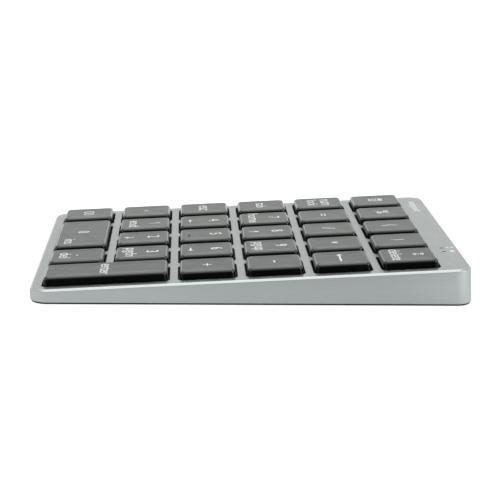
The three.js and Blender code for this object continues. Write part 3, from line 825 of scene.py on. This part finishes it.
for key in KEYS:
    def surface(px, py, key=key):
        side = key.half_x - SIDE_DRAFT * KEY_DRAFT - abs(px)
        return key_top(key) - dish(min(side, key.half_y - abs(py)))
    build_print(
        f"legend_{key.name}", LEGENDS[key.name], surface, key.place, key.node,
        INK, "keycap_plastic",
    )


def battery_shapes(x, y):
    """A small battery, lying across: its case, its charge and its tip."""
    charge = bar(x - 0.15, y, 1.1, 0.5)
    tip = bar(x + 1.1, y, 0.28, 0.5)
    return frame_shapes(x, y, 1.9, 1.2, 0.25) + charge + tip


def print_on_plate(name, shapes, x, y):
    build_print(
        name, shapes, lambda px, py: 0.0, on_plate, "root", PLATE_INK, "case_aluminium", x, y,
    )


SIGN_SHIFT = 2.45  # how far the printed signs stand behind their lamps
PRINTED_WORD = (-34.5, 58.1)  # its middle
PLATE_SIGNS = {
    "wireless": wireless_shapes(0, SIGN_SHIFT, 0.6),
    "battery": battery_shapes(0, SIGN_SHIFT),
}
for node, (sign, shapes) in zip(LIGHT_PIPES, PLATE_SIGNS.items()):
    print_on_plate(f"printed_{sign}_sign", shapes, *light_spot(node).xy)
print_on_plate("printed_word", text_shapes("keypad", 0, 0, 3.4, 14.0), *PRINTED_WORD)

# -------------------- bottom cover, feet and screws

FLANGE = 0.3  # thickness of the cover where it closes the walls from below
TRAY_TOP = 0.6
TRAY_GAP = 0.3  # between the tray and the inner sides of the walls
COVER_CORNER = CORNER - 0.3
COVER_SAG = 0.06  # how much lower than the CAD's the fine cover's underside is
POST_INSET = 4.0  # of the posts, from the edges of the circuit board that they carry
POST_INSET_REAR = 4.3
BOARD_BOX = Box("circuit_board")


def build_cover():
    """A flange with a tray that stands up inside the walls, and posts on it."""
    bm = bmesh.new()
    half_x, half_y = COVER_BOX.high.x, COVER_BOX.half.y
    tray = WALL + TRAY_GAP - (CASE.high.x - half_x)  # from the flange's edge in to the tray
    bottom = COVER_BOX.low.z - COVER_SAG
    top = COVER_BOX.high.z
    levels = [
        (0.08, bottom), (0.0, bottom + 0.08), (0.0, bottom + FLANGE - 0.06),
        (0.06, bottom + FLANGE), (tray, bottom + FLANGE), (tray, bottom + TRAY_TOP),
    ]
    rings = []
    for inset, z in levels:
        loop = rounded_loop(half_x - inset, half_y - inset, COVER_CORNER - inset, CORNER_STEPS)
        rings.append(ring(bm, loop, z, upright, 0.0, COVER_BOX.middle.y))
    skin(bm, rings)
    post = [
        (1.7, bottom + 0.4), (1.7, bottom + 0.7), (1.5, bottom + 0.9), (1.5, top - 0.15),
        (1.35, top),
    ]
    for x in (BOARD_BOX.low.x + POST_INSET, BOARD_BOX.high.x - POST_INSET):
        for y in (BOARD_BOX.low.y + POST_INSET, BOARD_BOX.high.y - POST_INSET_REAR):
            turned_solid(bm, post, x, y)
    below, above = [], []
    for node in SCREWS:
        holes = [
            ring(bm, circle_loop(radius), bottom + up, upright, *Box(node).middle.xy)
            for radius, up in ((1.05, 0.0), (0.95, 0.1), (0.95, TRAY_TOP))
        ]
        skin(bm, holes)
        below.append(holes[0])
        above.append(holes[-1])
    for node in FEET:
        groove = [
            ring(bm, circle_loop(radius, 48), bottom + up, upright, *Box(node).middle.xy)
            for radius, up in ((5.0, 0.0), (4.9, 0.12), (4.7, 0.12), (4.6, 0.0))
        ]
        skin(bm, groove)
        below.append(groove[0])
        cap(bm, groove[-1])
    cap(bm, rings[0], below)
    cap(bm, rings[-1], above)
    piece("bottom_cover_tray", bm, [COVER], "root", "cover_plastic", "bottom_cover")


def build_foot(node):
    """A round rubber foot with a rounded lower edge."""
    bm = bmesh.new()
    box = Box(node)
    radius, low, high = box.half.x, box.low.z, box.high.z
    profile = [
        (radius - 0.9, low), (radius - 0.45, low + 0.03), (radius - 0.15, low + 0.15),
        (radius, low + 0.42), (radius, high - 0.08), (radius - 0.08, high),
    ]
    turned_solid(bm, profile, *box.middle.xy, steps=48)
    piece(f"{node}_pad", bm, [RUBBER], "root", "foot_rubber", node)


def cross_loop(arm, half):
    """The outline of a cross: arm is its reach and half is half the width of its bars."""
    return [
        (half, -arm), (half, -half), (arm, -half), (arm, half), (half, half), (half, arm),
        (-half, arm), (-half, half), (-arm, half), (-arm, -half), (-half, -half), (-half, -arm),
    ]


def build_screw(node):
    """A pan head with a cross recess, on a shank ringed by the ridges of its thread."""
    bm = bmesh.new()
    box = Box(node)
    low, high = box.low.z, box.high.z
    head, shank, ridge, pitch = 1.6, 0.6, 0.1, 0.25
    profile = [
        (head - 0.25, low), (head - 0.08, low + 0.06), (head, low + 0.2),
        (head, low + 0.45), (shank, low + 0.45),
    ]
    z = low + 0.7
    while z < high - 0.5:
        profile += [(shank, z), (shank + ridge, z + pitch / 2)]
        z += pitch
    profile += [(shank, high - 0.4), (0.25, high)]

    def level_ring(loop, height):
        return ring(bm, loop, height, upright, *box.middle.xy)

    rings = [level_ring(circle_loop(radius), height) for radius, height in profile]
    skin(bm, rings)
    cap(bm, rings[-1])
    recess = [level_ring(cross_loop(0.8, 0.17), low)]
    recess.append(level_ring(cross_loop(0.62, 0.12), low + 0.3))
    skin(bm, recess)
    cap(bm, recess[-1])
    cap(bm, rings[0], [recess[0]])
    piece(f"{node}_steel", bm, [DARK_STEEL], "root", "screw_steel", node)


build_cover()
for node in FEET:
    build_foot(node)
for node in SCREWS:
    build_screw(node)

# -------------------- domes under the keys

SHEET_BOX = Box("dome_sheet", turned=True)
DOME_LOW, DOME_HIGH = SHEET_BOX.low.z - PLATE, SHEET_BOX.high.z - PLATE
DOME_SHEET_TOP = DOME_LOW + 0.15
DOME_FOOT = 2.9  # radius
DOME_PROFILE = [  # (radius, share of the dome's height), from the foot up
    (DOME_FOOT, 0.0), (2.86, 0.1), (2.66, 0.22), (2.3, 0.42), (1.98, 0.62), (1.74, 0.8),
    (1.6, 0.92), (1.4, 1.0), (0.9, 1.0), (0.7, 0.95),
]
DOME_SKIN = 0.28


def build_dome(key):
    """A hollow bell of silicone, open below, with a peg inside that closes the contact."""
    bm = bmesh.new()
    rise = DOME_HIGH - DOME_SHEET_TOP
    outside = [(radius, DOME_SHEET_TOP + rise * share) for radius, share in DOME_PROFILE]
    inside = [(radius - DOME_SKIN, height - DOME_SKIN) for radius, height in outside[1:7]]
    peg = [
        (1.0, DOME_HIGH - 2 * DOME_SKIN), (0.95, DOME_SHEET_TOP + 0.75),
        (0.8, DOME_SHEET_TOP + 0.7),
    ]
    foot = [(DOME_FOOT, DOME_LOW), (DOME_FOOT - 0.3, DOME_LOW)]
    profile = [*reversed(outside), *foot, *inside, *peg]
    turned_solid(bm, profile, 0, 0, key.place)
    dome = piece(f"dome_{key.name}", bm, [SILICONE], "root", "dome_silicone", "dome_sheet")
    anchor = key.place(0, 0, DOME_SHEET_TOP) * MM
    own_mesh(dome)


def build_dome_sheet():
    """The sheet that joins the domes, with a hole for each dome and each screw boss."""
    bm = bmesh.new()
    levels = (DOME_LOW, DOME_SHEET_TOP)
    loop = rounded_loop(*SHEET_BOX.half.xy, 1.0, 4)
    outline = [ring(bm, loop, z, on_plate, 0.0, SHEET_BOX.middle.y) for z in levels]
    skin(bm, outline)
    holes = [(key.x, key.y, DOME_FOOT - 0.02) for key in KEYS]
    for node in SCREWS:
        boss = to_plate(Box(node).middle)
        if boss.y < SHEET_BOX.high.y - CORNER:  # the rear screws stand behind the sheet
            holes.append((boss.x, boss.y, 1.5))
    rims = [
        [ring(bm, circle_loop(radius), z, on_plate, x, y) for z in levels]
        for x, y, radius in holes
    ]
    for rim in rims:
        skin(bm, rim)
    for index, edge in enumerate(outline):
        cap(bm, edge, [rim[index] for rim in rims])
    piece("dome_sheet_web", bm, [SILICONE], "root", "dome_silicone", "dome_sheet")


build_dome_sheet()
for key in KEYS:
    build_dome(key)

# -------------------- scissor lifts under the keys

LIFT_TOP = 0.45  # height of the bars in the keycaps' clips, above the plate
LIFT_FOOT = DOME_SHEET_TOP + 0.4  # height of the bars under the hooks
LIFT_BAR = 0.3  # half the width and half the thickness of an arm's bars
LIFT_ARMS = {"outer": (1, 5.3), "inner": (-1, 4.2)}  # the side that stands high, half width
LIFT_ANCHOR = LIFT_FOOT - LIFT_BAR


def build_lift_arm(key, arm, high_side, half_width):
    """A frame round the dome that slopes from its foot bar up to the bar in the clips."""
    bm = bmesh.new()
    slope = high_side * (LIFT_TOP - LIFT_FOOT) / (2 * CLIP_X)

    def sloping(x, y, z):
        return key.place(x, y, z + (LIFT_TOP + LIFT_FOOT) / 2 + slope * x)

    outside = rounded_loop(CLIP_X + LIFT_BAR, half_width, 0.5, 4)
    inside = rounded_loop(CLIP_X - LIFT_BAR, half_width - 2 * LIFT_BAR, 0.3, 4)
    rings = [
        ring(bm, loop, z, sloping)
        for loop, z in (
            (outside, -LIFT_BAR), (outside, LIFT_BAR), (inside, LIFT_BAR), (inside, -LIFT_BAR),
        )
    ]
    skin(bm, [*rings, rings[0]])
    lift = piece(f"lift_{arm}_{key.name}", bm, [BLACK_PLASTIC], "root", "switch_plastic")
    anchor = key.place(0, 0, LIFT_ANCHOR) * MM
    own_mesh(lift)


def build_hooks():
    """Steel hooks that rise from the backplate and hold the foot bars of the lifts."""
    bm = bmesh.new()
    base = Box("key_backplate", turned=True).high.z - PLATE
    top = LIFT_FOOT + LIFT_BAR + 0.05
    half = 0.4  # half the width of a hook
    for key in KEYS:
        for side_x, side_y in CLIP_SIDES:
            back = side_x * (CLIP_X + LIFT_BAR + 0.17)
            stem = (back, side_y * CLIP_Y, (base + top) / 2)
            lip = (back - side_x * 0.25, side_y * CLIP_Y, top)
            for size, middle in (
                ((0.1, half, (top - base) / 2), stem), ((0.33, half, 0.05), lip),
            ):
                rounded_block(bm, size, middle, 0.08, 0.03, key.place, steps=1)
    piece("backplate_hooks", bm, [STEEL], "root", "sheet_steel")


for key in KEYS:
    for arm, (high_side, half_width) in LIFT_ARMS.items():
        build_lift_arm(key, arm, high_side, half_width)
build_hooks()

# -------------------- rear parts and light pipes


def rear_ring(bm, box, half_x, half_z, radius, y):
    """A rounded ring round the middle of a box, in an upright plane that faces the rear."""
    x, z = box.middle.x, box.middle.z
    loop = rounded_loop(half_x, half_z, radius, 6)
    return [bm.verts.new(Vector((x + px, y, z + pz)) * MM) for px, pz in loop]


def build_socket():
    """A steel shell with a rolled mouth, and inside it a tongue with contacts."""
    bm = bmesh.new()
    mouth, back = SOCKET.high.y, SOCKET.low.y
    sheet = 0.3
    spots = [
        (0.25, back), (0.0, back + 0.25), (0.0, mouth - 0.12), (0.1, mouth), (0.22, mouth),
        (sheet, mouth - 0.1), (sheet, back + 1.0),
    ]
    rings = []
    for inset, y in spots:
        half_x, half_z = SOCKET.half.x - inset, SOCKET.half.z - inset
        rings.append(rear_ring(bm, SOCKET, half_x, half_z, half_z - HAIR, y))
    closed(bm, rings)
    tongue_x, tongue_z = 3.35, 0.35  # half sizes of the tongue
    spots = [(0.0, back + 0.9), (0.0, mouth - 1.75), (0.12, mouth - 1.6)]
    closed(bm, [
        rear_ring(bm, SOCKET, tongue_x - inset, tongue_z - inset, 0.15, y) for inset, y in spots
    ], slot=1)
    contacts, pitch = 12, 0.5
    for contact in range(contacts):
        x = SOCKET.middle.x + (contact - (contacts - 1) / 2) * pitch
        middle = (x, mouth - 3.0, SOCKET.middle.z + tongue_z + 0.01)
        rounded_block(bm, (0.13, 1.2, 0.03), middle, 0.05, 0.015, slot=2, steps=1)
    piece(
        "charging_socket_shell", bm, [STEEL, BLACK_PLASTIC, GOLD], "root", "socket_steel",
        "charging_socket",
    )


def build_switch_knob():
    """A small knob with grip ribs, on a stem that reaches into the switch."""
    bm = bmesh.new()
    x, rear, z = KNOB.middle.x, KNOB.high.y, KNOB.middle.z
    closed(bm, [
        rear_ring(bm, KNOB, KNOB.half.x - inset, KNOB.half.z - inset, 0.2, rear - back)
        for inset, back in ((0.1, 1.5), (0.0, 1.4), (0.0, 0.3), (0.08, 0.2))
    ])
    for rib in (-0.8, -0.27, 0.27, 0.8):
        rounded_block(bm, (0.14, 0.13, KNOB.half.z - 0.12), (x + rib, rear - 0.13, z), 0.1, 0.05)
    root = rear - 1.3  # where the stem leaves the knob
    stem = (x, (KNOB.low.y + root) / 2, z)
    rounded_block(bm, (0.7, (root - KNOB.low.y) / 2, 0.3), stem, 0.1, 0.05)
    piece(
        "power_switch_knob", bm, [BLACK_PLASTIC], "power_switch_slider", "switch_plastic",
        "power_switch_slider",
    )


def build_light_pipe(node):
    """A clear peg with a domed tip that stands in its hole, over a wider body."""
    bm = bmesh.new()
    box = Box(node)
    tip, foot, body = box.high.z, box.low.z, box.half.x
    shoulder = plate_height(box.middle.y) - PLATE_THICKNESS - 0.4
    profile = [
        (0.2, tip - 0.02), (0.36, tip - 0.1), (0.4, tip - 0.2), (0.4, shoulder),
        (body - 0.1, shoulder), (body, shoulder - 0.1), (body, foot),
    ]
    turned_solid(bm, profile, *box.middle.xy)
    piece(f"{node}_peg", bm, [CLEAR], "root", "light_pipe", node)


build_socket()
build_switch_knob()
for node in LIGHT_PIPES:
    build_light_pipe(node)

# -------------------- finishes of the other CAD nodes

FINISHES = {
    "key_backplate": STEEL,
    "contact_membrane": DARK_FILM,
    "enter_stabiliser": STEEL,
    "zero_stabiliser": STEEL,
    "circuit_board": BOARD,
    "controller_chip": BLACK_PLASTIC,
    "radio_module": STEEL,
    "battery_connector": CREAM_PLASTIC,
    "power_switch_body": STEEL,
    "indicator_lamp_left": CREAM_PLASTIC,
    "indicator_lamp_right": CREAM_PLASTIC,
    "membrane_ribbon": DARK_FILM,
    "battery": FOIL,
    "battery_lead": RED_WIRE,
}
for node, finish in FINISHES.items():
    mesh = frame["nodes"][node].data
    mesh.materials.clear()
    mesh.materials.append(finish)

# -------------------- table, light and camera

TABLE_HALF = 3000
TABLE_CORNER = 500
TABLE_DROP = 0.02  # keeps the table's surface clear of the feet


def combined(tree, operation, a, b):
    """Two values of a node tree, added or multiplied."""
    node = tree.nodes.new("ShaderNodeMath")
    node.operation = operation
    tree.links.new(a, node.inputs[0])
    tree.links.new(b, node.inputs[1])
    return node.outputs["Value"]


def even_to_the_eye(tree, strength, reflected):
    """One strength where it is seen directly, and another one in reflections."""
    mix = tree.nodes.new("ShaderNodeMix")
    path = tree.nodes.new("ShaderNodeLightPath")
    tree.links.new(path.outputs["Is Camera Ray"], mix.inputs["Factor"])
    tree.links.new(reflected, mix.inputs["A"])
    mix.inputs["B"].default_value = strength
    return mix.outputs["Result"]


def build_table():
    """A table that glows evenly to the eye, with darker and lighter pools in reflections."""
    bm = bmesh.new()
    cap(bm, ring(bm, rounded_loop(TABLE_HALF, TABLE_HALF, TABLE_CORNER, 4), -TABLE_DROP))
    mesh = bpy.data.meshes.new("table")
    bm.to_mesh(mesh)
    bm.free()
    look = Look("table_white", (0.2, 0.2, 0.2), 0.8)
    split = look.nodes.new("ShaderNodeSeparateXYZ")
    look.links.new(look.place, split.inputs["Vector"])
    # In reflections the glow is weaker close to the keypad and stronger beyond its ends.
    contact = look.curve(split.outputs["X"], 0.02, 0.08, (0.62, 0.66, 0.82, 0.94, 1.0))
    along = look.curve(split.outputs["Y"], -0.12, 0.12, (1.3, 1.15, 1.06, 0.96, 0.92, 1.3, 1.4))
    pool = look.between(look.distance((0.36, 0.0, 0.0)), 0.12, 1.0, 0.20, 0.28)
    glow = combined(look.tree, "MULTIPLY", contact, along)
    glow = combined(look.tree, "MULTIPLY", glow, pool)
    glow = even_to_the_eye(look.tree, 1.0, glow)
    look.links.new(glow, look.shader.inputs["Emission Strength"])
    look.shader.inputs["Emission Color"].default_value = (1, 1, 1, 1)
    mesh.materials.append(look.material)
    table = bpy.data.objects.new("table", mesh)
    bpy.context.scene.collection.objects.link(table)


def build_world():
    """A white studio with a bright panel high behind the keypad and a dim side at its right."""
    world = bpy.data.worlds.new("studio")
    world.use_nodes = True
    tree = world.node_tree
    nodes, links = tree.nodes, tree.links
    direction = nodes.new("ShaderNodeTexCoord").outputs["Generated"]

    def facing(toward, start, end, low, high):
        """From low to high as the cosine to a given direction goes from start to end."""
        along = nodes.new("ShaderNodeVectorMath")
        along.operation = "DOT_PRODUCT"
        along.inputs[1].default_value = Vector(toward).normalized()
        links.new(direction, along.inputs[0])
        ramp = nodes.new("ShaderNodeMapRange")
        ramp.interpolation_type = "SMOOTHSTEP"
        for socket, value in zip(ramp.inputs[1:5], (start, end, low, high)):
            socket.default_value = value
        links.new(along.outputs["Value"], ramp.inputs["Value"])
        return ramp.outputs["Result"]

    dim_side = facing((1, 0, 0.15), 0.45, 0.85, 0.95, 0.06)
    panel = facing((-0.45, 0, 0.9), 0.88, 0.98, 0.0, 2.5)
    overhead = facing((0.24, 0.05, 0.97), 0.80, 0.97, 0.0, 0.8)
    low = facing((0, 0, -1), -0.18, -0.06, 0.0, 1.0)
    far = facing((-1, 0, 0), 0.80, 0.95, 0.0, 0.2)
    studio = dim_side
    for glow in (panel, overhead, combined(tree, "MULTIPLY", low, far)):
        studio = combined(tree, "ADD", studio, glow)
    links.new(even_to_the_eye(tree, 1.1, studio), nodes["Background"].inputs["Strength"])
    nodes["Background"].inputs["Color"].default_value = (0.965, 1.0, 0.97, 1)
    bpy.context.scene.world = world


def soft_light(name, place, size, power):
    """A square area light that looks at the keypad."""
    data = bpy.data.lights.new(name, "AREA")
    data.shape = "SQUARE"
    data.size = size
    data.energy = power
    light = bpy.data.objects.new(name, data)
    light.location = place
    light.rotation_euler = (-Vector(place)).to_track_quat("-Z", "Y").to_euler()
    bpy.context.scene.collection.objects.link(light)


def build_camera():
    camera = bpy.data.cameras.new("camera")
    camera.lens = 108.8
    camera.sensor_width = 36.0
    camera.clip_start = 0.01
    obj = bpy.data.objects.new("camera", camera)
    place = (0.45233, -0.01923, 0.11521)
    look = Vector((-0.970544, 0.044709, -0.23739))
    roll = Matrix.Rotation(math.radians(0.965), 3, "Z")
    obj.location = place
    obj.rotation_euler = (look.to_track_quat("-Z", "Y").to_matrix() @ roll).to_euler()
    bpy.context.scene.collection.objects.link(obj)
    bpy.context.scene.camera = obj


build_table()
build_world()
soft_light("rear_right", place=(0.30, 0.65, 0.30), size=0.25, power=1.2)
build_camera()
bpy.context.scene.view_settings.view_transform = "Standard"
